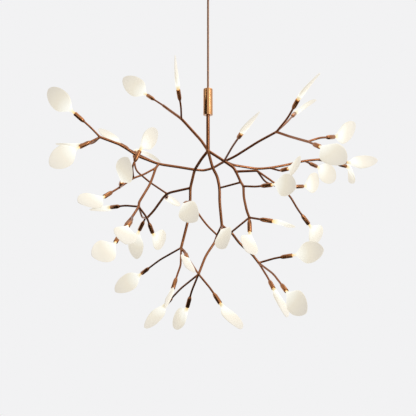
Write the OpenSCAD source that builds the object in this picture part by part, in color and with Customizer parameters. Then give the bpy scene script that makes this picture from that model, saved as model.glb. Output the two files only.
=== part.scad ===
// Branch chandelier: thin copper rods fork like a plant's stems, and each twig ends in a lit leaf.
// Millimetres. The origin is on the ceiling, where the cord's line meets it, and +Z points up.
// The lamp hangs below the origin. -Y is its front.

/* [Hanging] */
// Length from the ceiling to the top of the ferrule
drop = 295; // [200:5:2500]
// Diameter of the suspension cord
cord_d = 4.5; // [3:0.5:6]

/* [Canopy] */
// Outer diameter of the canopy cover
canopy_d = 130; // [124:1:200]
// Height of the canopy cover
canopy_h = 50; // [46:1:90]
// Wall of the canopy cover
canopy_wall = 1.2; // [0.8:0.1:3]
// Radius of the canopy cover's lower edge
canopy_edge_r = 6; // [3:0.5:12]
// Diameter of the collar under the canopy cover
collar_d = 14; // [13:0.5:24]
// Length of the collar
collar_len = 12; // [10:1:30]
// Gap between the ceiling plate and the canopy cover's wall
plate_gap = 5.8; // [4:0.1:8]
// Thickness of the ceiling plate
plate_t = 2; // [1.5:0.1:4]
// Distance between the ceiling screws
screw_spacing = 90; // [84:1:96]
// Diameter of a ceiling screw's hole
screw_hole_d = 5; // [4:0.1:6]
// Diameter of the mains cable's hole
cable_hole_d = 12; // [8:0.5:16]
// Distance from the plate down to the bridge that the cord hangs from
bridge_drop = 28; // [25:1:36]

/* [Driver] */
// Length of the LED driver
driver_len = 76; // [60:1:84]
// Width of the LED driver
driver_w = 24; // [18:1:26]
// Height of the LED driver
driver_h = 20; // [14:1:22]

/* [Ferrule] */
// Diameter of the ferrule
ferrule_d = 21; // [18:0.5:40]
// Length of the ferrule
ferrule_len = 60; // [50:1:120]
// Wall of the ferrule
ferrule_wall = 1.5; // [1:0.1:2.5]
// Radius of the edge at the ferrule's top
ferrule_edge_r = 2; // [1:0.1:2.5]
// Length of the ring that closes the ferrule's bottom
ferrule_ring_len = 8; // [5:0.5:12]

/* [Frame] */
// Diameter of the stem
stem_d = 8; // [6:0.5:9]
// Length of stem between the ferrule and the crown
stem_len = 80; // [60:1:300]
// Diameter of the ball at the crown
crown_d = 11; // [10:0.5:14]
// Diameter of the ball that carries the left and the right arm
knuckle_d = 9; // [9:0.5:12]
// Diameter of the main rods
main_d = 6.4; // [6.2:0.1:7]
// Diameter of the left arm
arm_d = 6; // [5.8:0.1:6.2]
// Diameter of the branch rods
branch_d = 5.5; // [4.9:0.1:5.6]
// Diameter of the twigs
twig_d = 4.4; // [3:0.1:4.5]
// How much thicker a bend is than its rod
bend_swell = 1.06; // [1.03:0.01:1.15]

/* [Sockets] */
// Diameter of a socket
socket_d = 9.2; // [7.8:0.1:11]
// Length of a socket
socket_len = 26; // [24:0.5:30]
// Length of the conical tail of a socket
socket_tail = 6; // [3:0.5:8]
// Depth of the twig in its socket
twig_seat = 9; // [6:0.5:10]
// Depth of the socket's mouth, down to the LED board
mouth_depth = 10; // [8:0.5:12]
// Diameter of the leaf's neck
neck_d = 5; // [4:0.1:5.6]

/* [Leaves] */
// Length of a leaf outside its socket
leaf_len = 75; // [50:1:85]
// Width of a leaf
leaf_w = 46; // [24:1:50]
// Thickness of a leaf near its neck
leaf_t = 10; // [8:0.5:14]
// Thickness of a leaf at its tip
tip_t = 2.6; // [1.5:0.1:4]
// Share of the leaf's length over which it bends away from its socket's line
leaf_bend = 0.38; // [0.2:0.02:0.5]
// How far the middle of a blade dips below its edges
leaf_cup = 3; // [0:0.5:6]

/* [Clearances] */
// Gap between two pieces that slide or turn on each other
running_gap = 0.3; // [0.3:0.05:0.6]
// Gap round a piece that is pushed into its seat
push_gap = 0.1; // [0.05:0.05:0.3]
// Gap that the brazing fills where one rod meets another
braze_gap = 0.02; // [0.01:0.01:0.05]

/* [Hidden] */
$fn = 48;
copper = [0.52, 0.29, 0.19];
bright_copper = [0.78, 0.50, 0.31];
frosted = [0.97, 0.94, 0.86];

ferrule_top = -drop;
ferrule_bottom = ferrule_top - ferrule_len;
crown_at = [0, 0, ferrule_bottom - stem_len];

// The ceiling plate fills the canopy cover, but for a gap all round
plate_d = canopy_d - 2 * (canopy_wall + plate_gap);

// The bridge under the ceiling plate, and the cord grip that stands on it
bridge_z = -plate_t - bridge_drop;
bridge_t = 2;
bridge_w = 22;
bridge_half = 22;
grip_d = 14;
grip_len = 14;
grip_neck_d = 8;
grip_neck_len = 4;
grip_cap_t = 4;
cord_top = bridge_z + bridge_t + grip_len - grip_cap_t;

// The mains cable's hole, and the driver, whose middle keeps its distance from the plate's edge
cable_hole_x = 32;
driver_inset = 28;
driver_x = driver_inset - plate_d / 2;
driver_lip = 3;
screw_d = 3;

// Inside the ferrule
ferrule_bore = ferrule_d - 2 * ferrule_wall;
flange_d = ferrule_bore - 2 * running_gap;
flange_t = 4;
flange_top = ferrule_bottom + ferrule_ring_len + running_gap + flange_t;
cap_t = 3;
clamp_len = 12;
cord_seat = 8;
cord_bottom = ferrule_top - cap_t - cord_seat;
cord_steps = 26;
cord_sides = 12;

// How a bend's ball is turned on its rod, so that its poles lie inside the rod and its seam clears the rod's
pole_tilt = 20;
seam_turn = 37;

// Inside a socket
mouth_d = neck_d + 2 * push_gap;
socket_lip = 0.8;
board_t = 1;
led_d = 2.4;
led_t = 0.8;

// A leaf's rings: their sides, and their places along it
leaf_sides = 12;
end_w = 0.12 * leaf_w;
end_t = tip_t * 2 / 3;
// Its outline is an egg, widest at this share of its length, drawn in to the neck over the next share
widest_place = 0.62;
neck_share = 0.5;
leaf_stations = [0.06, 0.14, 0.23, 0.34, 0.48, 0.63, 0.77, 0.89, 0.965, 1];

// Points are in mm from the crown: X to the right, Y away from the front, Z up.
// Where rods fork
fork_upper = [-60, 30, 80];
fork_upper_end = [-105, 80, 125];
fork_left = [-30, 40, -35];
fork_inner_top = [-40, 50, -75];
fork_hanging = [-40, 50, -105];
fork_low_left = [-60, 50, -210];
fork_arm = [-110, 25, -25];
fork_arm_end = [-230, -45, 20];
fork_low_left_top = [-115, 15, -35];
fork_twig_up = [-160, -25, -65];
fork_twig_pair = [-185, -55, -90];
fork_mid_left = [-145, -50, -130];
fork_near_left = [-155, -80, -155];
fork_near_left_end = [-165, -95, -170];
fork_inner = [-95, 65, -85];
fork_inner_low = [-140, 80, -140];
fork_right = [145, -50, 30];
fork_right_end = [195, -155, -15];
fork_centre = [25, -15, -85];
fork_split = [30, 0, -165];
fork_link = [20, 10, -185];
fork_low_centre = [-20, -15, -270];
fork_cross = [50, -5, -180];
fork_low_right = [110, 15, -245];
fork_near = [35, -10, -25];
fork_front_top = [60, -20, -50];
fork_front_link = [70, -30, -75];
fork_front = [75, -40, -85];
fork_front_end = [85, -70, -155];
fork_fan = [105, -30, -50];
fork_far_short = [140, 45, -30];
fork_far_mid = [220, 65, -10];
fork_far_end = [250, 75, -5];

// Rods of each limb: [diameter, points]. A limb starts on the crown or on the limb that carries it.
// The last rods of a limb may be links, which end on another limb.
middle_rods = [
  [main_d, [[0, 0, 0], [-15, 10, 25], fork_upper, [-90, 65, 110], fork_upper_end]],
  [main_d, [[0, 0, 0], [10, -10, -40], [20, -15, -60], fork_centre, [25, -10, -115], fork_split]],
  [branch_d, [fork_split, fork_link, [15, 10, -200], [-5, 0, -230], fork_low_centre]],
  [branch_d, [fork_split, fork_cross, [70, 10, -205], [95, 15, -225], fork_low_right]],
];
hanging_rods = [
  [main_d, [[0, 0, 0], [-15, 20, -15], fork_left, [-35, 45, -55], fork_inner_top, fork_hanging,
    [-45, 50, -150], fork_low_left]],
  [branch_d, [fork_inner_top, fork_inner, [-125, 75, -125], fork_inner_low]],
];
hanging_links = [
  [twig_d, [fork_hanging, [-15, 30, -145], [0, 20, -165], fork_link]],
  [twig_d, [fork_low_left, [-40, 20, -240], fork_low_centre]],
];
left_rods = [
  [arm_d, [fork_left, [-65, 35, -30], fork_arm, [-140, 15, -15], [-155, 10, -10], [-190, -15, 10],
    [-210, -30, 15], fork_arm_end]],
];
low_left_rods = [
  [branch_d, [fork_arm, fork_low_left_top, [-125, -10, -75], [-145, -45, -120], fork_mid_left,
    fork_near_left, fork_near_left_end]],
  [twig_d, [fork_low_left_top, [-140, -10, -55], fork_twig_up, fork_twig_pair]],
];
low_left_links = [
  [twig_d, [fork_mid_left, [-145, 20, -145], fork_inner_low]],
];
right_rods = [
  [branch_d, [fork_left, [-10, 50, -35], [10, 50, -30], [35, 50, -15], [60, 40, -5], [110, 0, 20], fork_right]],
  [branch_d, [fork_right, [170, -90, 10], fork_right_end]],
];
front_rods = [
  [main_d, [[0, 0, 0], fork_near, [55, -15, -40], fork_front_top]],
  [branch_d, [fork_front_top, fork_front_link, fork_front, [75, -50, -110], [80, -65, -140], fork_front_end]],
  [branch_d, [fork_front_top, fork_fan]],
  [branch_d, [fork_near, [55, 10, -30], [110, 30, -35], fork_far_short, [180, 60, -20], fork_far_mid, fork_far_end]],
];
front_links = [
  [twig_d, [fork_front_link, fork_centre]],
  [twig_d, [fork_front_end, fork_cross]],
];

// Each leaf: [limb that carries it, the twig's points down to the socket's mouth, the point that
// the leaf aims at, its turn from facing the front, in degrees].
leaves = [
  ["left", [fork_arm_end, [-250, -55, 40], [-280, -70, 65]], [-335, -75, 115], 25],
  ["middle", [fork_upper_end, [-145, 115, 160]], [-205, 120, 205], 5],
  ["middle", [fork_upper, [-60, 5, 100], [-65, -25, 130]], [-70, -65, 195], 90],
  ["left", [fork_arm, [-160, 65, 5], [-205, 95, 35]], [-260, 120, 80], -60],
  ["left", [fork_arm_end, [-270, -60, -5]], [-325, -85, -50], 20],
  ["left", [fork_arm_end, [-250, -10, 15], [-285, 35, 20]], [-350, 70, 30], -80],
  ["low_left", [fork_twig_pair, [-175, -95, -85]], [-155, -160, -45], 20],
  ["low_left", [fork_twig_up, [-160, -50, -45], [-145, -45, -10]], [-110, 0, 40], -55],
  ["low_left", [fork_twig_pair, [-210, -95, -115]], [-250, -155, -135], -25],
  ["low_left", [fork_mid_left, [-175, -30, -125], [-210, 0, -125]], [-255, 55, -125], 90],
  ["low_left", [fork_near_left_end, [-180, -135, -210]], [-215, -195, -240], 5],
  ["low_left", [fork_near_left, [-150, -120, -165], [-155, -150, -180]], [-150, -215, -220], 30],
  ["hanging", [fork_inner_low, [-145, 90, -140], [-160, 110, -165]], [-170, 145, -230], -30],
  ["low_left", [fork_mid_left, [-130, -30, -150], [-120, 0, -180]], [-95, 75, -190], 5],
  ["hanging", [fork_inner, [-95, 95, -85], [-100, 135, -85]], [-70, 205, -90], 55],
  ["hanging", [fork_hanging, [-45, 20, -110], [-50, -15, -120]], [-20, -75, -165], -15],
  ["hanging", [fork_low_left, [-50, 30, -220], [-45, 0, -235]], [-45, -65, -255], 50],
  ["middle", [fork_split, [30, -20, -175], [30, -50, -180]], [35, -120, -225], -40],
  ["front", [fork_front_end, [85, -80, -185]], [75, -135, -225], 30],
  ["hanging", [fork_low_left, [-110, 90, -235], [-155, 130, -265]], [-220, 130, -310], -25],
  ["hanging", [fork_low_left, [-60, 30, -250], [-65, 20, -265], [-75, 0, -300]], [-85, -70, -320], 85],
  ["middle", [fork_low_centre, [-60, 45, -300], [-95, 90, -335]], [-145, 105, -390], 55],
  ["middle", [fork_low_centre, [-35, 10, -305], [-45, 30, -340]], [-80, 85, -380], -45],
  ["middle", [fork_low_centre, [5, -35, -300], [25, -50, -330]], [65, -90, -380], 60],
  ["middle", [fork_low_right, [125, -20, -275], [135, -50, -300]], [155, -95, -355], 65],
  ["middle", [fork_low_right, [135, -50, -270], [155, -105, -305]], [185, -160, -345], -25],
  ["middle", [fork_low_right, [145, 5, -235], [180, -10, -230]], [240, -55, -220], 10],
  ["front", [fork_fan, [140, -30, -75], [175, -15, -100], [195, 0, -130], [220, 15, -160]], [250, 70, -190], 10],
  ["front", [fork_front_end, [105, -85, -160], [130, -95, -165]], [165, -30, -170], 80],
  ["front", [fork_front, [100, -65, -90], [130, -90, -90]], [170, -150, -105], -10],
  ["front", [fork_far_short, [160, 25, -40], [175, 0, -40]], [190, -75, -45], 5],
  ["front", [fork_fan, [125, 0, -70], [160, 40, -75], [220, 90, -65]], [265, 140, -35], -30],
  ["front", [fork_far_mid, [230, 80, -10], [255, 105, -15]], [305, 150, -40], 0],
  ["right", [fork_right_end, [210, -200, -35]], [250, -255, -80], 0],
  ["front", [fork_far_end, [275, 80, 0], [325, 105, -5]], [405, 105, 0], 40],
  ["front", [fork_far_end, [280, 95, -5], [330, 130, -10]], [350, 195, -35], 70],
  ["right", [fork_right_end, [220, -145, -5], [255, -110, 5]], [310, -70, 40], -45],
  ["right", [fork_right, [165, -90, 50], [180, -135, 75]], [215, -190, 110], 85],
  ["right", [fork_right, [175, 0, 65], [200, 60, 100]], [255, 90, 140], 90],
  ["front", [fork_near, [50, -85, -10], [65, -160, 0]], [95, -225, 25], 85],
  ["hanging", [fork_inner, [-135, 95, -55], [-170, 105, -25], [-175, 110, 5], [-175, 135, 25]],
    [-120, 180, 10], 85],
];

function leaf_name(i) = str("leaf_", i < 9 ? "0" : "", i + 1);

function unit(v) = v / norm(v);
function last(list) = list[len(list) - 1];
function drop_last(list) = [for (i = [0:len(list) - 2]) list[i]];
function mouth(i) = last(leaves[i][1]);
function aim(i) = unit(leaves[i][2] - mouth(i));
function socket_dir(i) = unit(mouth(i) - leaves[i][1][len(leaves[i][1]) - 2]);
function twig_end(i) = mouth(i) - socket_dir(i) * (socket_len - twig_seat);

// Turns the Z axis to a direction and moves the origin to a point
module place(point, direction) {
  translate(point)
    rotate([0, acos(direction.z), atan2(direction.y, direction.x)])
      children();
}

module bar(from, to, d) {
  place(from, unit(to - from))
    cylinder(d = d, h = norm(to - from));
}

// How sharply a rod bends at one of its points
function bend_angle(points, i) =
  acos(min(1, unit(points[i] - points[i - 1]) * unit(points[i + 1] - points[i])));

function is_bend(points, i) = i > 0 && i < len(points) - 1;

// The ball at a bend holds the ends of both bars, which stop short of each other inside it
function ball_scale(points, i) =
  is_bend(points, i) ? max(bend_swell, (1 + bend_swell) / 2 / cos(bend_angle(points, i) / 2)) : bend_swell;
function setback(points, i) =
  let (reach = sqrt(pow(ball_scale(points, i), 2) - 1))
    is_bend(points, i) ? (tan(bend_angle(points, i) / 2) + reach) / 2 : 0.9 * reach;

// A rod through its points, with a ball at each bend, and at its far end if it forks there
module rod(d, points, ball_end = true) {
  count = len(points);
  for (i = [0:count - 2]) {
    along = unit(points[i + 1] - points[i]) * d / 2;
    stops_at_ball = ball_end || i < count - 2;
    bar(points[i] + along * setback(points, i),
      points[i + 1] - (stops_at_ball ? along * setback(points, i + 1) : [0, 0, 0]), d);
  }
  for (i = [1:1:count - (ball_end ? 1 : 2)])
    place(points[i], unit(points[i] - points[i - 1]))
      rotate([pole_tilt, 0, seam_turn])
        sphere(d = d * ball_scale(points, i));
}

// A limb's own rods, and the twigs of the leaves that it carries
module limb(name, rods, links = []) {
  for (r = rods)
    rod(r[0], r[1]);
  for (r = links)
    rod(r[0], r[1], false);
  for (i = [0:len(leaves) - 1])
    if (leaves[i][0] == name)
      rod(twig_d, concat(drop_last(leaves[i][1]), [twig_end(i)]), false);
}

// What is cut from a limb where it is brazed to others
module notch(rods) {
  for (r = rods)
    rod(r[0] + 2 * braze_gap, r[1]);
}

// The ball at the crown, which belongs to the middle limb
module crown_ball(gap = 0) {
  sphere(d = crown_d + 2 * gap);
}

// A drum with its axis up, open at z = height, whose lower edge is rounded
module drum(radius, height, edge) {
  rotate_extrude() {
    square([radius - edge, height]);
    translate([0, edge])
      square([radius, height - edge]);
    translate([radius - edge, edge])
      intersection() {
        circle(edge);
        translate([0, -edge])
          square([edge, edge]);
      }
  }
}

module ceiling_plate() color("silver") {
  difference() {
    translate([0, 0, -plate_t])
      cylinder(d = plate_d, h = plate_t);
    translate([cable_hole_x, 0, -plate_t - 1])
      cylinder(d = cable_hole_d, h = plate_t + 2);
    for (y = [-1, 1] * screw_spacing / 2)
      translate([0, y, -plate_t - 1])
        cylinder(d = screw_hole_d, h = plate_t + 2);
  }
  difference() {
    union() {
      translate([-bridge_w / 2, -bridge_half, bridge_z])
        cube([bridge_w, 2 * bridge_half, bridge_t]);
      for (y = [-bridge_half, bridge_half - bridge_t])
        translate([-bridge_w / 2, y, bridge_z])
          cube([bridge_w, bridge_t, bridge_drop]);
    }
    translate([0, 0, bridge_z - 1])
      cylinder(d = grip_neck_d + 2 * push_gap, h = bridge_t + 2);
  }
}

module led_driver() color("white") {
  translate([driver_x - driver_w / 2, -driver_len / 2, -plate_t - driver_h]) {
    cube([driver_w, driver_len, driver_h]);
    translate([driver_lip, -driver_lip, driver_lip])
      cube([driver_w - 2 * driver_lip, driver_len + 2 * driver_lip, driver_h - 2 * driver_lip]);
  }
}

module cord_grip() color("dimgray") {
  difference() {
    union() {
      translate([0, 0, bridge_z + bridge_t])
        cylinder(d = grip_d, h = grip_len);
      translate([0, 0, bridge_z - grip_neck_len])
        cylinder(d = grip_neck_d, h = grip_neck_len + bridge_t + 1);
    }
    translate([0, 0, bridge_z - grip_neck_len - 1])
      cylinder(d = cord_d + 2 * push_gap, h = cord_top - bridge_z + grip_neck_len + 1);
  }
}

module canopy_cover() color(copper) {
  difference() {
    translate([0, 0, -canopy_h])
      drum(canopy_d / 2, canopy_h, canopy_edge_r);
    translate([0, 0, canopy_wall - canopy_h])
      drum(canopy_d / 2 - canopy_wall, canopy_h, canopy_edge_r - canopy_wall);
    translate([0, 0, -canopy_h - 1])
      cylinder(d = cord_d + 2 * running_gap, h = canopy_wall + 2);
  }
}

module canopy_collar() color(bright_copper) {
  difference() {
    translate([0, 0, -canopy_h - collar_len])
      cylinder(d = collar_d, h = collar_len);
    translate([0, 0, -canopy_h - collar_len - 1])
      cylinder(d = cord_d + 2 * running_gap, h = collar_len + 2);
    translate([0, 0, -canopy_h - collar_len / 2])
      rotate([90, 0, 0])
        cylinder(d = screw_d + 2 * push_gap, h = collar_d);
  }
}

module collar_screw() color("silver") {
  translate([0, -cord_d / 2 - running_gap, -canopy_h - collar_len / 2])
    rotate([90, 0, 0])
      cylinder(d = screw_d, h = collar_d / 2 - cord_d / 2 - running_gap);
}

// The cord is taut: one straight tube from the clamp in the ferrule up to the grip
module suspension_cord() color(copper) {
  route = [for (i = [0:cord_steps]) [0, 0, cord_bottom + (cord_top - cord_bottom) * i / cord_steps]];
  ring = [for (k = [0:cord_sides - 1]) cord_d / 2 * [cos(360 * k / cord_sides), sin(360 * k / cord_sides), 0]];
  polyhedron(
    points = [for (p = route) for (q = ring) p + q],
    faces = tube_faces(cord_steps + 1, cord_sides)
  );
}

// Triangles of a closed tube of rings, capped by a fan at each end
function tube_faces(rings, sides) = concat(
  [for (i = [0:rings - 2]) for (k = [0:sides - 1])
    each [[i * sides + k, (i + 1) * sides + k, i * sides + (k + 1) % sides],
      [i * sides + (k + 1) % sides, (i + 1) * sides + k, (i + 1) * sides + (k + 1) % sides]]],
  [for (k = [1:sides - 2])
    each [[0, k, k + 1], [(rings - 1) * sides, (rings - 1) * sides + k + 1, (rings - 1) * sides + k]]]
);

module ferrule_tube() color(bright_copper) {
  translate([0, 0, ferrule_top])
    difference() {
      mirror([0, 0, 1])
        drum(ferrule_d / 2, ferrule_len, ferrule_edge_r);
      translate([0, 0, -ferrule_len - 1])
        cylinder(d = ferrule_bore, h = ferrule_len + 1 - cap_t);
      translate([0, 0, -cap_t - 1])
        cylinder(d = cord_d + 2 * running_gap, h = cap_t + 2);
    }
}

module ferrule_ring() color(bright_copper) {
  translate([0, 0, ferrule_bottom])
    difference() {
      cylinder(d = ferrule_bore - 2 * push_gap, h = ferrule_ring_len);
      translate([0, 0, -1])
        cylinder(d = stem_d + 2 * running_gap, h = ferrule_ring_len + 2);
    }
}

module cord_clamp() color("silver") {
  translate([0, 0, ferrule_top - cap_t - clamp_len])
    difference() {
      cylinder(d = ferrule_bore - 2 * push_gap, h = clamp_len);
      translate([0, 0, clamp_len - cord_seat])
        cylinder(d = cord_d + 2 * push_gap, h = cord_seat + 1);
    }
}

module stem() color(copper) {
  difference() {
    union() {
      translate(crown_at)
        cylinder(d = stem_d, h = flange_top - crown_at.z);
      translate([0, 0, flange_top - flange_t])
        cylinder(d = flange_d, h = flange_t);
    }
    translate(crown_at) {
      crown_ball(braze_gap);
      notch([middle_rods[0]]);
    }
  }
}

module middle_limb() color(copper) translate(crown_at) {
  crown_ball();
  limb("middle", middle_rods);
}

// The ball that the two arms are brazed to, which belongs to the hanging limb
module knuckle(gap = 0) {
  translate(fork_left)
    sphere(d = knuckle_d + 2 * gap);
}

module hanging_limb() color(copper) translate(crown_at) difference() {
  union() {
    knuckle();
    limb("hanging", hanging_rods, hanging_links);
  }
  crown_ball(braze_gap);
  notch(middle_rods);
}

module left_limb() color(copper) translate(crown_at) difference() {
  limb("left", left_rods);
  knuckle(braze_gap);
}

module low_left_limb() color(copper) translate(crown_at) difference() {
  limb("low_left", low_left_rods, low_left_links);
  notch(left_rods);
  notch([hanging_rods[1]]);
}

module right_limb() color(copper) translate(crown_at) difference() {
  limb("right", right_rods);
  knuckle(braze_gap);
}

module front_limb() color(copper) translate(crown_at) difference() {
  limb("front", front_rods, front_links);
  crown_ball(braze_gap);
  notch(middle_rods);
}

// One socket, with its mouth at the origin, opening along +Z
module socket() {
  difference() {
    rotate_extrude()
      polygon([[0, -socket_len], [twig_d / 2 + socket_lip, -socket_len],
        [socket_d / 2, socket_tail - socket_len], [socket_d / 2, 0], [0, 0]]);
    translate([0, 0, -mouth_depth])
      cylinder(d = mouth_d, h = mouth_depth + 1);
    translate([0, 0, -socket_len - 1])
      cylinder(d = twig_d + 2 * push_gap, h = twig_seat + 1);
  }
}

module sockets() color(copper) translate(crown_at) {
  for (i = [0:len(leaves) - 1])
    place(mouth(i), socket_dir(i))
      socket();
}

module led_boards() color("gold") translate(crown_at) {
  for (i = [0:len(leaves) - 1])
    place(mouth(i) - mouth_depth * socket_dir(i), socket_dir(i)) {
      cylinder(d = mouth_d - 2 * push_gap, h = board_t);
      cylinder(d = led_d, h = board_t + led_t);
    }
}

// The egg's outline, 1 at its widest, and the curve by which it is drawn in to the neck
function egg(t) =
  let (x = (t - widest_place) / (t < widest_place ? widest_place : 1 - widest_place))
    sqrt(max(0, 1 - x * x));
function ease(x) = let (c = min(1, max(0, x))) c * c * (3 - 2 * c);

// Half the blade's width, and half its thickness, at a share t of its length
function half_width(t) = max(neck_d / 2, leaf_w / 2 * egg(t) * ease(t / neck_share));
function half_thickness(t) = tip_t / 2 + (leaf_t - tip_t) / 2 * sin(180 * sqrt(t));

// The spine leaves the socket on the socket's line and bends over to the leaf's aim
function spine(i, t) =
  mouth(i) + leaf_len * (2 * t * (1 - t) * leaf_bend * socket_dir(i) + t * t * aim(i));
function spine_dir(i, t) =
  unit((1 - 2 * t) * leaf_bend * socket_dir(i) + t * aim(i));

// The blade's width runs along this line before it is squared to the spine
function width_line(i) =
  let (level = unit(cross(aim(i), [0, -1, 0])), turn = leaves[i][3])
    cos(turn) * level + sin(turn) * cross(level, aim(i));

function ring_at(centre, along, across, half_w, half_t, cup) =
  let (w = unit(across - (across * along) * along), n = cross(w, along))
    [for (k = [0:leaf_sides - 1])
      let (x = cos(360 * k / leaf_sides), y = sin(360 * k / leaf_sides))
        centre + half_w * x * w + (half_t * y + cup * x * x) * n];

function leaf_rings(i) =
  let (d = socket_dir(i), w = width_line(i), m = mouth(i), neck_end = mouth_depth - board_t - led_t - running_gap)
    concat(
      ring_at(m - neck_end * d, d, w, neck_d / 2, neck_d / 2, 0),
      ring_at(m, d, w, neck_d / 2, neck_d / 2, 0),
      [for (t = leaf_stations)
        each ring_at(spine(i, t), spine_dir(i, t), w, t == 1 ? end_w / 2 : half_width(t),
          t == 1 ? end_t / 2 : half_thickness(t), leaf_cup * t * half_width(t) * 2 / leaf_w)]
    );

module leaf(i) {
  color(frosted)
    translate(crown_at)
      polyhedron(points = leaf_rings(i), faces = tube_faces(len(leaf_stations) + 2, leaf_sides));
}

ceiling_plate();
led_driver();
cord_grip();
canopy_cover();
canopy_collar();
collar_screw();
suspension_cord();
ferrule_tube();
ferrule_ring();
cord_clamp();
stem();
middle_limb();
hanging_limb();
left_limb();
low_left_limb();
right_limb();
front_limb();
sockets();
led_boards();
for (i = [0:len(leaves) - 1])
  leaf(i);
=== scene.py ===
"""Branch chandelier: copper branches fork from a ferrule on a cord, with a lit leaf on each twig."""
import math

import bmesh
import bpy
from mathutils import Matrix, Vector


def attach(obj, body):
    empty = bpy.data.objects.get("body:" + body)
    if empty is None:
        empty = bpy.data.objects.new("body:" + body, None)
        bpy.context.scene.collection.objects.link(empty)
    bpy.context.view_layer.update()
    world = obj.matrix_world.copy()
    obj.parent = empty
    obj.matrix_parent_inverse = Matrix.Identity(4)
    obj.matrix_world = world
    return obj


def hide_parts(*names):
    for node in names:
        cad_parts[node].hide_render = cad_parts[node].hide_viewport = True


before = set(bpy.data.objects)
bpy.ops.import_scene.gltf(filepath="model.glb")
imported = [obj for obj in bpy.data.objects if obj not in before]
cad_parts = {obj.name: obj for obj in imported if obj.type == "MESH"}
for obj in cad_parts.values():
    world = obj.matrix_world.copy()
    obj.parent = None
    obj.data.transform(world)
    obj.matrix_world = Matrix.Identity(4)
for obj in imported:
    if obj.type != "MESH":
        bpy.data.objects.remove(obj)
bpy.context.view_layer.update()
scene = bpy.context.scene
MM = 0.001


def mm(x, y, z):
    """A point given in millimetres from the ceiling, in metres."""
    return Vector((x * MM, y * MM, z * MM))


def rgb(red, green, blue):
    """A colour as it shows on a screen, 0 to 255, as the linear colour that a shader takes."""
    def linear(value):
        value /= 255
        return value / 12.92 if value <= 0.04045 else ((value + 0.055) / 1.055) ** 2.4
    return linear(red), linear(green), linear(blue), 1.0


# ---------------------------------------------------------------- sizes, as in the part's source

CORD_D = 4.5
CORD_TOP = -18
CORD_BOTTOM = -306
CORD_STEPS = 26
CANOPY_D = 130
CANOPY_H = 50
CANOPY_WALL = 1.2
CANOPY_EDGE_R = 6
FERRULE_D = 21
FERRULE_TOP = -295
FERRULE_BOTTOM = -355
FERRULE_WALL = 1.5
FERRULE_EDGE_R = 2.0
CAP_T = 3
STEM_D = 8
FLANGE_TOP = -342.7
FLANGE_D = 17.4
FLANGE_T = 4
CROWN_Z = -435
CROWN_D = 11
MAIN_D = 6.4
ARM_D = 6
BRANCH_D = 5.5
TWIG_D = 4.4
SOCKET_D = 9.2
SOCKET_LEN = 26
SOCKET_TAIL = 6
SOCKET_LIP = 0.8
TWIG_SEAT = 9
MOUTH_D = 5.2
MOUTH_DEPTH = 10
LEAF_LEN = 75
RUNNING_GAP = 0.3

# Points are in millimetres from the crown: X to the right, Y away from the front, Z up.
# Where rods fork
UPPER = (-60, 30, 80)
UPPER_END = (-105, 80, 125)
LEFT = (-30, 40, -35)
INNER_TOP = (-40, 50, -75)
HANGING = (-40, 50, -105)
LOW_LEFT = (-60, 50, -210)
ARM = (-110, 25, -25)
ARM_END = (-230, -45, 20)
LOW_LEFT_TOP = (-115, 15, -35)
TWIG_UP = (-160, -25, -65)
TWIG_PAIR = (-185, -55, -90)
MID_LEFT = (-145, -50, -130)
NEAR_LEFT = (-155, -80, -155)
NEAR_LEFT_END = (-165, -95, -170)
INNER = (-95, 65, -85)
INNER_LOW = (-140, 80, -140)
RIGHT = (145, -50, 30)
RIGHT_END = (195, -155, -15)
CENTRE = (25, -15, -85)
SPLIT = (30, 0, -165)
LINK = (20, 10, -185)
LOW_CENTRE = (-20, -15, -270)
CROSS = (50, -5, -180)
LOW_RIGHT = (110, 15, -245)
NEAR = (35, -10, -25)
FRONT_TOP = (60, -20, -50)
FRONT_LINK = (70, -30, -75)
FRONT = (75, -40, -85)
FRONT_END = (85, -70, -155)
FAN = (105, -30, -50)
FAR_SHORT = (140, 45, -30)
FAR_MID = (220, 65, -10)
FAR_END = (250, 75, -5)
CROWN = (0, 0, 0)

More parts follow.
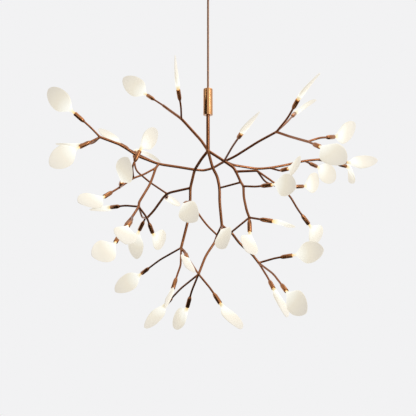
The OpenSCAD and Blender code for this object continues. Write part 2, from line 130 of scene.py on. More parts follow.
# Each limb's rods: diameter, then the points that the rod runs through
LIMBS = {
    "middle_limb": [
        (MAIN_D, CROWN, (-15, 10, 25), UPPER, (-90, 65, 110), UPPER_END),
        (MAIN_D, CROWN, (10, -10, -40), (20, -15, -60), CENTRE, (25, -10, -115), SPLIT),
        (BRANCH_D, SPLIT, LINK, (15, 10, -200), (-5, 0, -230), LOW_CENTRE),
        (BRANCH_D, SPLIT, CROSS, (70, 10, -205), (95, 15, -225), LOW_RIGHT),
    ],
    "hanging_limb": [
        (MAIN_D, CROWN, (-15, 20, -15), LEFT, (-35, 45, -55), INNER_TOP, HANGING, (-45, 50, -150), LOW_LEFT),
        (BRANCH_D, INNER_TOP, INNER, (-125, 75, -125), INNER_LOW),
        (TWIG_D, HANGING, (-15, 30, -145), (0, 20, -165), LINK),
        (TWIG_D, LOW_LEFT, (-40, 20, -240), LOW_CENTRE),
    ],
    "left_limb": [
        (ARM_D, LEFT, (-65, 35, -30), ARM, (-140, 15, -15), (-155, 10, -10), (-190, -15, 10),
         (-210, -30, 15), ARM_END),
    ],
    "low_left_limb": [
        (BRANCH_D, ARM, LOW_LEFT_TOP, (-125, -10, -75), (-145, -45, -120), MID_LEFT, NEAR_LEFT,
         NEAR_LEFT_END),
        (TWIG_D, LOW_LEFT_TOP, (-140, -10, -55), TWIG_UP, TWIG_PAIR),
        (TWIG_D, MID_LEFT, (-145, 20, -145), INNER_LOW),
    ],
    "right_limb": [
        (BRANCH_D, LEFT, (-10, 50, -35), (10, 50, -30), (35, 50, -15), (60, 40, -5), (110, 0, 20), RIGHT),
        (BRANCH_D, RIGHT, (170, -90, 10), RIGHT_END),
    ],
    "front_limb": [
        (MAIN_D, CROWN, NEAR, (55, -15, -40), FRONT_TOP),
        (BRANCH_D, FRONT_TOP, FRONT_LINK, FRONT, (75, -50, -110), (80, -65, -140), FRONT_END),
        (BRANCH_D, FRONT_TOP, FAN),
        (BRANCH_D, NEAR, (55, 10, -30), (110, 30, -35), FAR_SHORT, (180, 60, -20), FAR_MID, FAR_END),
        (TWIG_D, FRONT_LINK, CENTRE),
        (TWIG_D, FRONT_END, CROSS),
    ],
}

# Each leaf's twig: the limb that carries it, then its points down to the socket's mouth
TWIGS = [
    ("left_limb", ARM_END, (-250, -55, 40), (-280, -70, 65)),
    ("middle_limb", UPPER_END, (-145, 115, 160)),
    ("middle_limb", UPPER, (-60, 5, 100), (-65, -25, 130)),
    ("left_limb", ARM, (-160, 65, 5), (-205, 95, 35)),
    ("left_limb", ARM_END, (-270, -60, -5)),
    ("left_limb", ARM_END, (-250, -10, 15), (-285, 35, 20)),
    ("low_left_limb", TWIG_PAIR, (-175, -95, -85)),
    ("low_left_limb", TWIG_UP, (-160, -50, -45), (-145, -45, -10)),
    ("low_left_limb", TWIG_PAIR, (-210, -95, -115)),
    ("low_left_limb", MID_LEFT, (-175, -30, -125), (-210, 0, -125)),
    ("low_left_limb", NEAR_LEFT_END, (-180, -135, -210)),
    ("low_left_limb", NEAR_LEFT, (-150, -120, -165), (-155, -150, -180)),
    ("hanging_limb", INNER_LOW, (-145, 90, -140), (-160, 110, -165)),
    ("low_left_limb", MID_LEFT, (-130, -30, -150), (-120, 0, -180)),
    ("hanging_limb", INNER, (-95, 95, -85), (-100, 135, -85)),
    ("hanging_limb", HANGING, (-45, 20, -110), (-50, -15, -120)),
    ("hanging_limb", LOW_LEFT, (-50, 30, -220), (-45, 0, -235)),
    ("middle_limb", SPLIT, (30, -20, -175), (30, -50, -180)),
    ("front_limb", FRONT_END, (85, -80, -185)),
    ("hanging_limb", LOW_LEFT, (-110, 90, -235), (-155, 130, -265)),
    ("hanging_limb", LOW_LEFT, (-60, 30, -250), (-65, 20, -265), (-75, 0, -300)),
    ("middle_limb", LOW_CENTRE, (-60, 45, -300), (-95, 90, -335)),
    ("middle_limb", LOW_CENTRE, (-35, 10, -305), (-45, 30, -340)),
    ("middle_limb", LOW_CENTRE, (5, -35, -300), (25, -50, -330)),
    ("middle_limb", LOW_RIGHT, (125, -20, -275), (135, -50, -300)),
    ("middle_limb", LOW_RIGHT, (135, -50, -270), (155, -105, -305)),
    ("middle_limb", LOW_RIGHT, (145, 5, -235), (180, -10, -230)),
    ("front_limb", FAN, (140, -30, -75), (175, -15, -100), (195, 0, -130), (220, 15, -160)),
    ("front_limb", FRONT_END, (105, -85, -160), (130, -95, -165)),
    ("front_limb", FRONT, (100, -65, -90), (130, -90, -90)),
    ("front_limb", FAR_SHORT, (160, 25, -40), (175, 0, -40)),
    ("front_limb", FAN, (125, 0, -70), (160, 40, -75), (220, 90, -65)),
    ("front_limb", FAR_MID, (230, 80, -10), (255, 105, -15)),
    ("right_limb", RIGHT_END, (210, -200, -35)),
    ("front_limb", FAR_END, (275, 80, 0), (325, 105, -5)),
    ("front_limb", FAR_END, (280, 95, -5), (330, 130, -10)),
    ("right_limb", RIGHT_END, (220, -145, -5), (255, -110, 5)),
    ("right_limb", RIGHT, (165, -90, 50), (180, -135, 75)),
    ("right_limb", RIGHT, (175, 0, 65), (200, 60, 100)),
    ("front_limb", NEAR, (50, -85, -10), (65, -160, 0)),
    ("hanging_limb", INNER, (-135, 95, -55), (-170, 105, -25), (-175, 110, 5), (-175, 135, 25)),
]


def from_crown(point):
    return mm(point[0], point[1], point[2] + CROWN_Z)


def mouth_of(twig):
    """The middle of the socket's mouth, and the direction that the socket points in."""
    mouth, before = from_crown(twig[-1]), from_crown(twig[-2])
    return mouth, (mouth - before).normalized()


# ---------------------------------------------------------------- the photograph's camera

CAMERA_PLACE = (0, -1.3896, -0.7323)
CAMERA_TILT = 97
SENSOR_WIDTH = 36
FOCAL_LENGTH = 55.8
bpy.ops.object.camera_add(location=CAMERA_PLACE, rotation=(math.radians(CAMERA_TILT), 0, 0))
camera = bpy.context.object
camera.data.sensor_width = SENSOR_WIDTH
camera.data.lens = FOCAL_LENGTH
scene.camera = camera
scene.view_settings.view_transform = "Standard"


# ---------------------------------------------------------------- helpers for modelling

# Measures that differ by less than this, in metres, count as one, and points closer than the next are joined
SAME_MEASURE = 2e-6
SAME_POINT = 1e-6


def deselect_all():
    bpy.ops.object.select_all(action="DESELECT")


def pick(thing):
    deselect_all()
    thing.select_set(True)
    bpy.context.view_layer.objects.active = thing


def edit_mesh(thing):
    """Goes into edit mode with nothing selected."""
    pick(thing)
    bpy.ops.object.mode_set(mode="EDIT")
    bpy.ops.mesh.select_all(action="DESELECT")


def choose(thing, kind, test):
    """Selects the faces or edges for which test holds."""
    bpy.ops.mesh.select_mode(type=kind)
    bpy.ops.mesh.select_all(action="DESELECT")
    mesh = bmesh.from_edit_mesh(thing.data)
    items = mesh.faces if kind == "FACE" else mesh.edges
    chosen = [item for item in items if test(item)]
    for item in chosen:
        item.select_set(True)
    bmesh.update_edit_mesh(thing.data)


def leave_edit():
    bpy.ops.object.mode_set(mode="OBJECT")


def ring_at(z, radius=None):
    """Test for the edges of a ring round Z at height z, in metres."""
    def test(edge):
        level = all(abs(v.co.z - z) < SAME_MEASURE for v in edge.verts)
        if radius is None:
            return level
        return level and all(abs(v.co.xy.length - radius) < SAME_MEASURE for v in edge.verts)
    return test


def cap_at(z):
    """Test for the flat cap round Z at height z."""
    return lambda face: abs(face.calc_center_median().z - z) < SAME_MEASURE and abs(face.normal.z) > 0.99


def bevel(width, segments=3):
    bpy.ops.mesh.bevel(offset=width, segments=segments, profile=0.5, affect="EDGES")


def push(x=0.0, y=0.0, z=0.0):
    bpy.ops.mesh.extrude_region_move(TRANSFORM_OT_translate={"value": (x, y, z)})


def shrink_to(ratio, centre):
    bpy.ops.transform.resize(value=(ratio, ratio, 1), center_override=centre)


def smooth_shade(thing, angle=35):
    pick(thing)
    bpy.ops.object.shade_smooth_by_angle(angle=math.radians(angle))


def settle(thing):
    """Puts a finished piece's place in its mesh."""
    pick(thing)
    bpy.ops.object.transform_apply(location=True, rotation=True, scale=True)


def finish_with(thing, kind, name, **settings):
    """Adds a modifier with its settings and applies it."""
    pick(thing)
    modifier = thing.modifiers.new(name, kind)
    for key, value in settings.items():
        setattr(modifier, key, value)
    bpy.ops.object.modifier_apply(modifier=modifier.name)


def outward(thing):
    edit_mesh(thing)
    bpy.ops.mesh.select_all(action="SELECT")
    bpy.ops.mesh.remove_doubles(threshold=SAME_POINT)
    bpy.ops.mesh.normals_make_consistent(inside=False)
    leave_edit()


def paint(thing, material):
    thing.data.materials.clear()
    thing.data.materials.append(material)


# ---------------------------------------------------------------- the suspension cord

def make_cord():
    """The taut cord, from its clamp in the ferrule up to its grip in the canopy."""
    line = bpy.data.curves.new("suspension_flex", "CURVE")
    line.dimensions = "3D"
    spline = line.splines.new("POLY")
    spline.points.add(CORD_STEPS)
    for i, point in enumerate(spline.points):
        point.co = (*mm(0, 0, CORD_BOTTOM + (CORD_TOP - CORD_BOTTOM) * i / CORD_STEPS), 1)
        point.radius = CORD_D / 2 * MM
    line.bevel_depth = 1.0
    line.bevel_resolution = 6
    line.use_fill_caps = True
    flex = bpy.data.objects.new("suspension_flex", line)
    scene.collection.objects.link(flex)
    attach(flex, "mount")
    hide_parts("suspension_cord")
    return flex


flex = make_cord()


# ---------------------------------------------------------------- materials

class Finish:
    """A node material round one Principled shader."""

    def __init__(self, name):
        self.material = bpy.data.materials.new(name)
        self.material.use_nodes = True
        self.tree = self.material.node_tree
        self.shader = self.tree.nodes["Principled BSDF"]

    def node(self, kind, **settings):
        made = self.tree.nodes.new(kind)
        for key, value in settings.items():
            setattr(made, key, value)
        return made

    def join(self, out, into):
        self.tree.links.new(out, into)

    def places(self, scale=(1, 1, 1)):
        coordinates = self.node("ShaderNodeTexCoord")
        mapping = self.node("ShaderNodeMapping")
        mapping.inputs["Scale"].default_value = scale
        self.join(coordinates.outputs["Object"], mapping.inputs["Vector"])
        return mapping.outputs["Vector"]

    def noise(self, scale, detail=3.0, rough=0.55, stretch=(1, 1, 1)):
        made = self.node("ShaderNodeTexNoise")
        made.inputs["Scale"].default_value = scale
        made.inputs["Detail"].default_value = detail
        made.inputs["Roughness"].default_value = rough
        self.join(self.places(stretch), made.inputs["Vector"])
        return made.outputs["Fac"]

    def ramp(self, value, stops, smooth=False):
        made = self.node("ShaderNodeValToRGB")
        if smooth:
            made.color_ramp.interpolation = "EASE"
        while len(made.color_ramp.elements) < len(stops):
            made.color_ramp.elements.new(0.5)
        for element, (place, colour) in zip(made.color_ramp.elements, stops):
            element.position = place
            element.color = colour
        self.join(value, made.inputs["Fac"])
        return made.outputs["Color"]

    def spread(self, value, low, high):
        """Maps 0 to 1 onto low to high."""
        made = self.node("ShaderNodeMapRange")
        made.inputs["To Min"].default_value = low
        made.inputs["To Max"].default_value = high
        self.join(value, made.inputs["Value"])
        return made.outputs["Result"]

    def bump(self, height, strength, distance):
        made = self.node("ShaderNodeBump")
        made.inputs["Strength"].default_value = strength
        made.inputs["Distance"].default_value = distance
        self.join(height, made.inputs["Height"])
        self.join(made.outputs["Normal"], self.shader.inputs["Normal"])

    def set(self, **values):
        for name, value in values.items():
            self.shader.inputs[name.replace("_", " ")].default_value = value


def copper_rod_finish():
    """Satin copper plating, unevenly toned along the rods, with faint draw marks."""
    f = Finish("satin copper")
    tone = f.noise(24, 3)
    f.join(f.ramp(tone, [(0.30, (0.27, 0.10, 0.040, 1)), (0.50, (0.31, 0.12, 0.050, 1)),
                         (0.72, (0.35, 0.142, 0.061, 1))]), f.shader.inputs["Base Color"])
    grain = f.noise(420, 2)
    f.join(f.spread(grain, 0.27, 0.31), f.shader.inputs["Roughness"])
    f.bump(grain, 0.012, 0.0001)
    f.set(Metallic=1.0)
    return f.material


def socket_finish():
    """Turned copper, a little lighter than the rods."""
    f = Finish("turned copper")
    tone = f.noise(60, 3)
    f.join(f.ramp(tone, [(0.3, (0.40, 0.165, 0.068, 1)), (0.7, (0.46, 0.20, 0.086, 1))]),
           f.shader.inputs["Base Color"])
    f.join(f.spread(f.noise(500, 2), 0.22, 0.32), f.shader.inputs["Roughness"])
    f.set(Metallic=1.0)
    return f.material


def polished_copper_finish():
    """Golden copper, polished, with faint lines round the piece from the lathe."""
    f = Finish("polished golden copper")
    lines = f.noise(60, 3, stretch=(1, 1, 40))
    f.join(f.ramp(lines, [(0.3, (0.60, 0.28, 0.10, 1)), (0.7, (0.64, 0.31, 0.12, 1))]),
           f.shader.inputs["Base Color"])
    f.join(f.spread(lines, 0.21, 0.23), f.shader.inputs["Roughness"])
    f.bump(lines, 0.005, 0.0001)
    f.set(Metallic=1.0, Coat_Weight=0.6, Coat_Roughness=0.12)
    return f.material


def canopy_finish():
    f = Finish("satin copper lacquer")
    cloud = f.noise(30, 5)
    f.join(f.ramp(cloud, [(0.3, (0.40, 0.185, 0.085, 1)), (0.7, (0.46, 0.22, 0.11, 1))]),
           f.shader.inputs["Base Color"])
    peel = f.noise(420, 2)
    f.join(f.spread(peel, 0.30, 0.40), f.shader.inputs["Roughness"])
    f.bump(peel, 0.08, 0.0002)
    f.set(Metallic=0.9, Coat_Weight=0.3, Coat_Roughness=0.25)
    return f.material


def cord_finish():
    """A copper-coloured braided sheath: two sets of fine strands that cross as they wind round it."""
    f = Finish("copper braid")
    coordinates = f.node("ShaderNodeTexCoord")
    parts = f.node("ShaderNodeSeparateXYZ")
    f.join(coordinates.outputs["Object"], parts.inputs["Vector"])
    around = f.node("ShaderNodeMath", operation="ARCTAN2")
    f.join(parts.outputs["Y"], around.inputs[0])
    f.join(parts.outputs["X"], around.inputs[1])
    strands = []
    for lead in (1, -1):
        along = f.node("ShaderNodeMath", operation="MULTIPLY")
        along.inputs[1].default_value = 3200 * lead
        f.join(parts.outputs["Z"], along.inputs[0])
        wound = f.node("ShaderNodeMath", operation="MULTIPLY_ADD")
        wound.inputs[1].default_value = 10
        f.join(around.outputs["Value"], wound.inputs[0])
        f.join(along.outputs["Value"], wound.inputs[2])
        wave = f.node("ShaderNodeMath", operation="SINE")
        f.join(wound.outputs["Value"], wave.inputs[0])
        strands.append(wave.outputs["Value"])
    weave = f.node("ShaderNodeMath", operation="MULTIPLY")
    f.join(strands[0], weave.inputs[0])
    f.join(strands[1], weave.inputs[1])
    height = f.node("ShaderNodeMapRange")
    height.inputs["From Min"].default_value = -1
    f.join(weave.outputs["Value"], height.inputs["Value"])
    # The colour follows the weave's height: copper on the raised strands, darker down into the hollows
    # between them. The dark gaps of the braid are its own; the darkening down each strand's sides is painted
    # shade.
    f.join(f.ramp(height.outputs["Result"], [(0.1, (0.20, 0.085, 0.04, 1)), (0.9, (0.52, 0.27, 0.14, 1))]),
           f.shader.inputs["Base Color"])
    f.bump(height.outputs["Result"], 0.35, 0.0002)
    f.set(Metallic=0.65, Roughness=0.34)
    return f.material


def zinc_finish():
    f = Finish("zinc plate")
    spangle = f.noise(160, 4)
    f.join(f.ramp(spangle, [(0.35, (0.50, 0.51, 0.53, 1)), (0.65, (0.66, 0.67, 0.69, 1))]),
           f.shader.inputs["Base Color"])
    f.join(f.spread(spangle, 0.28, 0.45), f.shader.inputs["Roughness"])
    f.bump(spangle, 0.1, 0.0002)
    f.set(Metallic=1.0)
    return f.material


def moulded_finish(name, dark, light, roughness):
    """Moulded plastic with a fine eroded texture."""
    f = Finish(name)
    texture = f.noise(1400, 2)
    f.join(f.ramp(texture, [(0.3, dark), (0.7, light)]), f.shader.inputs["Base Color"])
    f.bump(texture, 0.2, 0.0002)
    f.set(Roughness=roughness)
    return f.material


def led_finish():
    f = Finish("warm LED")
    patch = f.noise(700, 1)
    f.join(f.ramp(patch, [(0.4, (1.0, 0.60, 0.22, 1)), (0.6, (1.0, 0.78, 0.42, 1))]),
           f.shader.inputs["Emission Color"])
    f.set(Base_Color=(0.95, 0.85, 0.6, 1), Roughness=0.4, Emission_Strength=3.0)
    return f.material


def leaf_finish():
    """Frosted lens, lit from its neck: amber, then white, then cream to the tip, with a greyer rim."""
    f = Finish("lit frosted lens")
    reach = f.node("ShaderNodeAttribute", attribute_name="from_neck")
    rim = f.node("ShaderNodeAttribute", attribute_name="rim")
    glow = f.ramp(reach.outputs["Fac"], [
        (0.00, (0.85, 0.36, 0.06, 1)),
        (0.04, (0.86, 0.62, 0.26, 1)),
        (0.10, (0.86, 0.79, 0.58, 1)),
        (0.18, (0.84, 0.83, 0.77, 1)),
        (0.32, (0.77, 0.75, 0.66, 1)),
        (0.55, (0.66, 0.605, 0.49, 1)),
        (1.00, (0.55, 0.505, 0.43, 1)),
    ])
    shade = f.node("ShaderNodeMix", data_type="RGBA", blend_type="MULTIPLY")
    shade.inputs["Factor"].default_value = 1.0
    f.join(glow, shade.inputs["A"])
    f.join(f.ramp(rim.outputs["Fac"], [(0.45, (1, 1, 1, 1)), (1.0, (0.78, 0.77, 0.74, 1))]),
           shade.inputs["B"])
    f.join(shade.outputs["Result"], f.shader.inputs["Emission Color"])
    f.join(f.ramp(reach.outputs["Fac"], [
        (0.00, (0.40, 0.20, 0.05, 1)),
        (0.08, (0.33, 0.29, 0.20, 1)),
        (0.20, (0.33, 0.325, 0.305, 1)),
        (1.00, (0.32, 0.312, 0.29, 1)),
    ]), f.shader.inputs["Base Color"])
    f.join(f.spread(f.noise(260, 3), 0.42, 0.50), f.shader.inputs["Roughness"])
    f.set(Emission_Strength=1.0, Specular_IOR_Level=0.3)
    return f.material


ROD_COPPER = copper_rod_finish()
SOCKET_COPPER = socket_finish()
GOLD_COPPER = polished_copper_finish()
CANOPY_COPPER = canopy_finish()
CORD_BRAID = cord_finish()
ZINC = zinc_finish()
DRIVER_WHITE = moulded_finish("white housing", (0.78, 0.78, 0.76, 1), (0.86, 0.86, 0.84, 1), 0.5)
BLACK_NYLON = moulded_finish("black nylon", (0.02, 0.02, 0.02, 1), (0.045, 0.045, 0.045, 1), 0.55)
WARM_LED = led_finish()
LIT_LENS = leaf_finish()
paint(flex, CORD_BRAID)


# ---------------------------------------------------------------- the branches

# How far a bend reaches along its rods, and the steps of its curve
BEND_REACH = 14 * MM
BEND_STEPS = 6
# How much thicker a rod is at its root, and how far that reaches
ROOT_FLARE = 1.22
ROOT_REACH = 7 * MM
# How much thinner a rod is at its far end
END_TAPER = 0.05
# The grain in which the rods grow together, and what they then regain of their size
CAST_GRAIN = 0.0008
REGAINED = 0.00023


def rounded(points, radii):
    """A rod's course, straight between its bends, with each bend drawn as a short curve."""
    course = [(points[0], radii[0])]
    for i in range(1, len(points) - 1):
        corner, radius = points[i], radii[i]
        back, ahead = points[i - 1] - corner, points[i + 1] - corner
        cut = min(BEND_REACH, 0.4 * back.length, 0.4 * ahead.length)
        start, end = corner + back.normalized() * cut, corner + ahead.normalized() * cut
        for step in range(BEND_STEPS + 1):
            t = step / BEND_STEPS
            course.append((start * (1 - t) ** 2 + corner * 2 * t * (1 - t) + end * t * t, radius))
    course.append((points[-1], radii[-1]))
    return course


def add_rod(curve, points, radii):
    """A round rod along its course."""
    course = rounded(points, radii)
    spline = curve.splines.new("POLY")
    spline.points.add(len(course) - 1)
    for knot, (place, radius) in zip(spline.points, course):
        knot.co = (*place, 1)
        knot.radius = radius


def tapered(points, diameter):
    """A rod's radii: wider where it grows out of a fork, and a little thinner at its far end."""
    last = len(points) - 1
    return [diameter / 2 * MM * (1.0 - END_TAPER * i / last) for i in range(last + 1)]


def with_root(points):
    """Adds a point just after the root, so that the flare there stays short."""
    step = points[1] - points[0]
    return [points[0], points[0] + step.normalized() * min(ROOT_REACH, step.length / 2)] + points[1:]


def make_limb(name):
    """One limb: its rods and twigs are laid as smooth tubes, grown together, and smoothed like a casting."""
    curve = bpy.data.curves.new(name + "_lines", "CURVE")
    curve.dimensions = "3D"
    curve.bevel_depth = 1.0
    curve.bevel_resolution = 5
    curve.use_fill_caps = True
    rods = [(rod[0], [from_crown(p) for p in rod[1:]]) for rod in LIMBS[name]]
    for twig in TWIGS:
        if twig[0] == name:
            points = [from_crown(p) for p in twig[1:]]
            mouth, along = mouth_of(twig)
            points[-1] = mouth - along * (SOCKET_LEN - TWIG_SEAT) * MM
            rods.append((TWIG_D, points))
    for diameter, points in rods:
        points = with_root(points)
        radii = tapered(points, diameter)
        radii[0] *= ROOT_FLARE
        add_rod(curve, points, radii)
    lines = bpy.data.objects.new(name + "_cast", curve)
    scene.collection.objects.link(lines)
    pick(lines)
    bpy.ops.object.convert(target="MESH")
    limb = bpy.context.object
    limb.name = name + "_cast"
    if name == "middle_limb":
        bpy.ops.mesh.primitive_uv_sphere_add(segments=32, ring_count=16,
                                             radius=CROWN_D / 2 * MM * 0.86, location=from_crown(CROWN))
        crown = bpy.context.object
        crown.select_set(True)
        limb.select_set(True)
        bpy.context.view_layer.objects.active = limb
        bpy.ops.object.join()
    finish_with(limb, "REMESH", "grow together", mode="VOXEL", voxel_size=CAST_GRAIN)
    finish_with(limb, "SMOOTH", "soften forks", factor=0.5, iterations=8)
    finish_with(limb, "DISPLACE", "regain size", strength=REGAINED, mid_level=0)
    pick(limb)
    bpy.ops.object.shade_smooth()
    settle(limb)
    paint(limb, ROD_COPPER)
    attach(limb, "frame")
    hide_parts(name)


for limb_name in LIMBS:
    make_limb(limb_name)


# ---------------------------------------------------------------- turned pieces

def turned_blank(name, radius, low, high, sides=96):
    """A round bar along Z, from low to high, in millimetres."""
    bpy.ops.mesh.primitive_cylinder_add(vertices=sides, radius=radius * MM, depth=(high - low) * MM,
                                        location=mm(0, 0, (low + high) / 2))
    blank = bpy.context.object
    blank.name = name
    settle(blank)
    return blank


def bore(thing, z, radius, hole, depth):
    """Sinks a hole of radius hole and the given depth into the cap of the given radius at z."""
    choose(thing, "FACE", cap_at(z * MM))
    bpy.ops.mesh.inset(thickness=(radius - hole) * MM, depth=0)
    push(z=depth * MM)


def finished(thing, material, body, slot, *nodes, angle=35):
    leave_edit()
    outward(thing)
    smooth_shade(thing, angle)
    paint(thing, material)
    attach(thing, body)
    if nodes:
        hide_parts(*nodes)


def make_ferrule():
    """A drawn cup with a rolled top edge and a hole for the cord, open below."""
    r = FERRULE_D / 2
    cup = turned_blank("ferrule_cup", r, FERRULE_BOTTOM, FERRULE_TOP)
    edit_mesh(cup)
    bore(cup, FERRULE_BOTTOM, r, r - FERRULE_WALL, FERRULE_TOP - CAP_T - FERRULE_BOTTOM)
    bore(cup, FERRULE_TOP, r, CORD_D / 2 + RUNNING_GAP, -CAP_T)
    choose(cup, "EDGE", ring_at(FERRULE_TOP * MM, r * MM))
    bevel(FERRULE_EDGE_R * MM, 6)
    choose(cup, "EDGE", ring_at(FERRULE_BOTTOM * MM))
    bevel(0.35 * MM, 3)
    finished(cup, GOLD_COPPER, "mount", "bright_copper", "ferrule_tube")


def make_stem():
    """The turned stem: a rod with a flange that turns on the ferrule's ring."""
    r = STEM_D / 2
    stem = turned_blank("turned_stem", r, CROWN_Z, FLANGE_TOP - FLANGE_T, 64)
    edit_mesh(stem)
    choose(stem, "FACE", cap_at((FLANGE_TOP - FLANGE_T) * MM))
    push()
    shrink_to(FLANGE_D / STEM_D, mm(0, 0, FLANGE_TOP - FLANGE_T))
    push(z=FLANGE_T * MM)
    choose(stem, "EDGE", ring_at(FLANGE_TOP * MM))
    bevel(0.4 * MM, 3)
    finished(stem, ROD_COPPER, "frame", "copper", "stem")


def make_canopy():
    """The spun cover: a shallow drum with a rolled lower edge, open at the ceiling."""
    r, low = CANOPY_D / 2, -CANOPY_H
    cover = turned_blank("spun_canopy", r, low, 0, 160)
    edit_mesh(cover)
    bore(cover, 0, r, r - CANOPY_WALL, low + CANOPY_WALL)
    choose(cover, "EDGE", ring_at(low * MM, r * MM))
    bevel(CANOPY_EDGE_R * MM, 8)
    choose(cover, "EDGE", ring_at((low + CANOPY_WALL) * MM, (r - CANOPY_WALL) * MM))
    bevel((CANOPY_EDGE_R - CANOPY_WALL) * MM, 6)
    bore(cover, low, r - CANOPY_EDGE_R, CORD_D / 2 + RUNNING_GAP, CANOPY_WALL - 0.02)
    finished(cover, CANOPY_COPPER, "cover", "canopy_copper", "canopy_cover")


make_ferrule()
make_stem()
make_canopy()


# ---------------------------------------------------------------- sockets

def make_socket():
    """One turned socket along Z, with its mouth at the origin: a rimmed cup on a conical tail."""
    r = SOCKET_D / 2
    socket = turned_blank("leaf_sockets", r, SOCKET_TAIL - SOCKET_LEN, 0, 32)
    edit_mesh(socket)
    choose(socket, "FACE", cap_at((SOCKET_TAIL - SOCKET_LEN) * MM))
    push(z=-SOCKET_TAIL * MM)
    shrink_to((TWIG_D / 2 + SOCKET_LIP) / r, mm(0, 0, -SOCKET_LEN))
    choose(socket, "EDGE", ring_at((SOCKET_TAIL - SOCKET_LEN) * MM))
    bevel(1.4 * MM, 3)
    bore(socket, 0, r, MOUTH_D / 2, -MOUTH_DEPTH)
    choose(socket, "EDGE", ring_at(0))
    bevel(0.45 * MM, 2)
    choose(socket, "EDGE", ring_at(-SOCKET_LEN * MM))
    bevel(0.35 * MM, 2)
    leave_edit()
    return socket


def make_sockets():
    pattern = make_socket()
    copies = []
    for twig in TWIGS:
        mouth, along = mouth_of(twig)
        copy = pattern.copy()
        copy.data = pattern.data.copy()
        scene.collection.objects.link(copy)
        turn = Vector((0, 0, 1)).rotation_difference(along).to_matrix().to_4x4()
        copy.matrix_world = Matrix.Translation(mouth) @ turn
        copies.append(copy)
    bpy.data.objects.remove(pattern, do_unlink=True)
    deselect_all()
    for copy in copies:
        copy.select_set(True)
    bpy.context.view_layer.objects.active = copies[0]
    bpy.ops.object.transform_apply(location=True, rotation=True, scale=True)
    bpy.ops.object.join()
    sockets = bpy.context.object
    sockets.name = "turned_sockets"
    smooth_shade(sockets, 40)
    paint(sockets, SOCKET_COPPER)
    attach(sockets, "frame")
    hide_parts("sockets")


make_sockets()


# ---------------------------------------------------------------- leaves

def keep_size(mesh):
    """Moves each point out by as much as subdivision will pull it in."""
    moved = {}
    for v in mesh.verts:
        near = [e.other_vert(v).co for e in v.link_edges]
        beside = [e.other_vert(v) for e in v.link_edges]
        across = [sum((c.co for c in f.verts if c != v and c not in beside), Vector())
                  for f in v.link_faces if len(f.verts) == 4]
        n = len(near)
        if n != 4 or len(across) != 4:
            continue
        settled = (16 * v.co + 4 * sum(near, Vector()) + sum(across, Vector())) / 36
        moved[v] = 2 * v.co - settled
    for v, place in moved.items():
        v.co = place


def make_leaf(number, twig):
    """A leaf's smooth lens: the CAD blade, rounded, and marked with each point's distance from the neck."""
    node = "leaf_%02d" % number
    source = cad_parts[node]
    leaf = source.copy()
    leaf.data = source.data.copy()
    leaf.name = "lens_%02d" % number
    leaf.parent = None
    leaf.matrix_world = Matrix.Identity(4)
    scene.collection.objects.link(leaf)
    edit_mesh(leaf)
    bpy.ops.mesh.select_all(action="SELECT")
    bpy.ops.mesh.remove_doubles(threshold=SAME_POINT)
    bpy.ops.mesh.tris_convert_to_quads(face_threshold=math.radians(60), shape_threshold=math.radians(120))
    keep_size(bmesh.from_edit_mesh(leaf.data))
    bmesh.update_edit_mesh(leaf.data)
    leave_edit()
    finish_with(leaf, "SUBSURF", "round", levels=2, render_levels=2)
    pick(leaf)
    bpy.ops.object.shade_smooth()
    mouth, along = mouth_of(twig)
    mesh = leaf.data
    reach = mesh.attributes.new("from_neck", "FLOAT", "POINT")
    edge = mesh.attributes.new("rim", "FLOAT", "POINT")
    middle = sum((v.co for v in mesh.vertices), Vector()) / len(mesh.vertices)
    length_line = (middle - mouth).normalized()
    spread = Matrix(((0, 0, 0), (0, 0, 0), (0, 0, 0)))
    for v in mesh.vertices:
        off = v.co - middle
        off -= off.dot(length_line) * length_line
        for a in range(3):
            for b in range(3):
                spread[a][b] += off[a] * off[b]
    width_line = Vector((1, 0.3, 0.2)).cross(length_line)
    for _ in range(12):
        width_line = (spread @ width_line).normalized()
    for v in mesh.vertices:
        off = v.co - mouth
        behind = off.dot(along) < 0
        reach.data[v.index].value = 0.0 if behind else min(1.0, off.length / (LEAF_LEN * MM))
        edge.data[v.index].value = abs(v.normal.dot(width_line)) ** 2
    paint(leaf, LIT_LENS)
    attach(leaf, "frame")
    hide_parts(node)


for leaf_number, leaf_twig in enumerate(TWIGS, 1):
    make_leaf(leaf_number, leaf_twig)


# ---------------------------------------------------------------- finishes on the pieces kept from the CAD

KEPT = {
    "ceiling_plate": ZINC,
    "led_driver": DRIVER_WHITE,
    "cord_grip": BLACK_NYLON,
    "canopy_collar": GOLD_COPPER,
    "collar_screw": ZINC,
    "ferrule_ring": GOLD_COPPER,
    "cord_clamp": ZINC,
    "led_boards": WARM_LED,
}
for kept_name, kept_finish in KEPT.items():
    paint(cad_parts[kept_name], kept_finish)


# ---------------------------------------------------------------- studio

PALE = rgb(242, 242, 243)


def pale_to_the_camera(tree, surface, pale):
    """Mixes a surface shader with a plain pale glow that camera, glossy and transmitted rays see."""
    path = tree.nodes.new("ShaderNodeLightPath")
    glow = tree.nodes.new("ShaderNodeEmission")
    glow.inputs["Color"].default_value = pale
    seen = path.outputs["Is Camera Ray"]
    for other in ("Is Glossy Ray", "Is Transmission Ray"):
        either = tree.nodes.new("ShaderNodeMath")
        either.operation = "MAXIMUM"
        tree.links.new(seen, either.inputs[0])
        tree.links.new(path.outputs[other], either.inputs[1])
        seen = either.outputs["Value"]
    mix = tree.nodes.new("ShaderNodeMixShader")
    tree.links.new(seen, mix.inputs["Fac"])
    tree.links.new(surface, mix.inputs[1])
    tree.links.new(glow.outputs["Emission"], mix.inputs[2])
    return mix.outputs["Shader"]


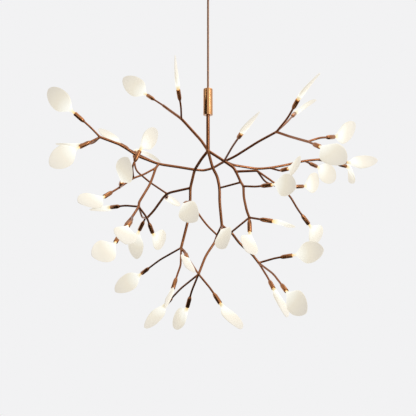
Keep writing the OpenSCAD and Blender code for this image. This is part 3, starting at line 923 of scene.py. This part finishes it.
def make_sweep():
    """A pale floor well below the lamp, which curves up into a backdrop behind it."""
    bpy.ops.mesh.primitive_plane_add(size=1, location=(0, 0, 0))
    sweep = bpy.context.object
    sweep.name = "studio_sweep"
    edit_mesh(sweep)
    bpy.ops.mesh.select_all(action="SELECT")
    bpy.ops.transform.resize(value=(9, 6, 1))
    bpy.ops.transform.translate(value=(0, -0.6, -1.5))
    choose(sweep, "EDGE", lambda e: all(v.co.y > 2.3 for v in e.verts))
    push(z=4.5)
    choose(sweep, "EDGE", lambda e: all(v.co.y > 2.3 and v.co.z < -1.4 for v in e.verts))
    bevel(0.8, 12)
    leave_edit()
    pick(sweep)
    bpy.ops.object.shade_smooth()
    card = Finish("pale card")
    fibres = card.noise(40, 4)
    card.join(card.ramp(fibres, [(0.0, rgb(240, 240, 241)), (1.0, rgb(244, 244, 245))]),
              card.shader.inputs["Base Color"])
    card.set(Roughness=0.9)
    out = card.tree.nodes["Material Output"]
    card.join(pale_to_the_camera(card.tree, card.shader.outputs["BSDF"], PALE), out.inputs["Surface"])
    paint(sweep, card.material)


def make_world():
    """Pale all round to the camera. The light is soft, and falls off towards the left and the floor."""
    world = bpy.data.worlds.new("studio air")
    scene.world = world
    world.use_nodes = True
    tree = world.node_tree
    air = tree.nodes["Background"]
    place = tree.nodes.new("ShaderNodeTexCoord")
    lean = tree.nodes.new("ShaderNodeVectorMath")
    lean.operation = "DOT_PRODUCT"
    lean.inputs[1].default_value = Vector((0.62, 0.55, 0.56)).normalized()
    tree.links.new(place.outputs["Generated"], lean.inputs[0])
    level = tree.nodes.new("ShaderNodeMapRange")
    level.interpolation_type = "SMOOTHSTEP"
    level.inputs["From Min"].default_value = -0.75
    level.inputs["From Max"].default_value = 0.9
    level.inputs["To Min"].default_value = 0.10
    level.inputs["To Max"].default_value = 1.0
    tree.links.new(lean.outputs["Value"], level.inputs["Value"])
    tree.links.new(level.outputs["Result"], air.inputs["Strength"])
    air.inputs["Color"].default_value = (0.97, 0.98, 1.0, 1)
    tree.links.new(pale_to_the_camera(tree, air.outputs["Background"], PALE),
                   tree.nodes["World Output"].inputs["Surface"])


def add_softbox(name, place, target, width, height, watts):
    bpy.ops.object.light_add(type="AREA", location=place)
    lamp = bpy.context.object
    lamp.name = name
    lamp.data.shape = "RECTANGLE"
    lamp.data.size = width
    lamp.data.size_y = height
    lamp.data.energy = watts
    lamp.rotation_euler = (Vector(target) - Vector(place)).to_track_quat("-Z", "Y").to_euler()


def add_flag(name, place, facing, width, height):
    """A dark card that only reflections show: it gives the metal its dark side."""
    bpy.ops.mesh.primitive_plane_add(size=1, location=place)
    card = bpy.context.object
    card.name = name
    card.scale = (width, height, 1)
    card.rotation_euler = Vector(facing).to_track_quat("Z", "Y").to_euler()
    card.visible_camera = False
    card.visible_diffuse = False
    card.visible_transmission = False
    card.visible_shadow = False
    felt = Finish(name + " felt")
    nap = felt.noise(90, 3)
    felt.join(felt.ramp(nap, [(0.3, (0.05, 0.047, 0.044, 1)), (0.7, (0.075, 0.07, 0.066, 1))]),
              felt.shader.inputs["Base Color"])
    felt.set(Roughness=1.0, Specular_IOR_Level=0.0)
    paint(card, felt.material)


make_sweep()
make_world()
LAMP_CENTRE = (0, 0, -0.5)
add_softbox("tall_softbox", (1.45, -1.40, -0.25), LAMP_CENTRE, 0.24, 1.8, 12)
add_softbox("overhead_softbox", (0.5, 0.2, 0.9), LAMP_CENTRE, 1.2, 1.2, 6)
add_flag("side_flag", (-1.30, -0.75, -0.6), (0.87, 0.5, 0), 2.6, 3.0)
add_flag("low_flag", (0, 0, -1.45), (0, 0, 1), 5.0, 5.0)
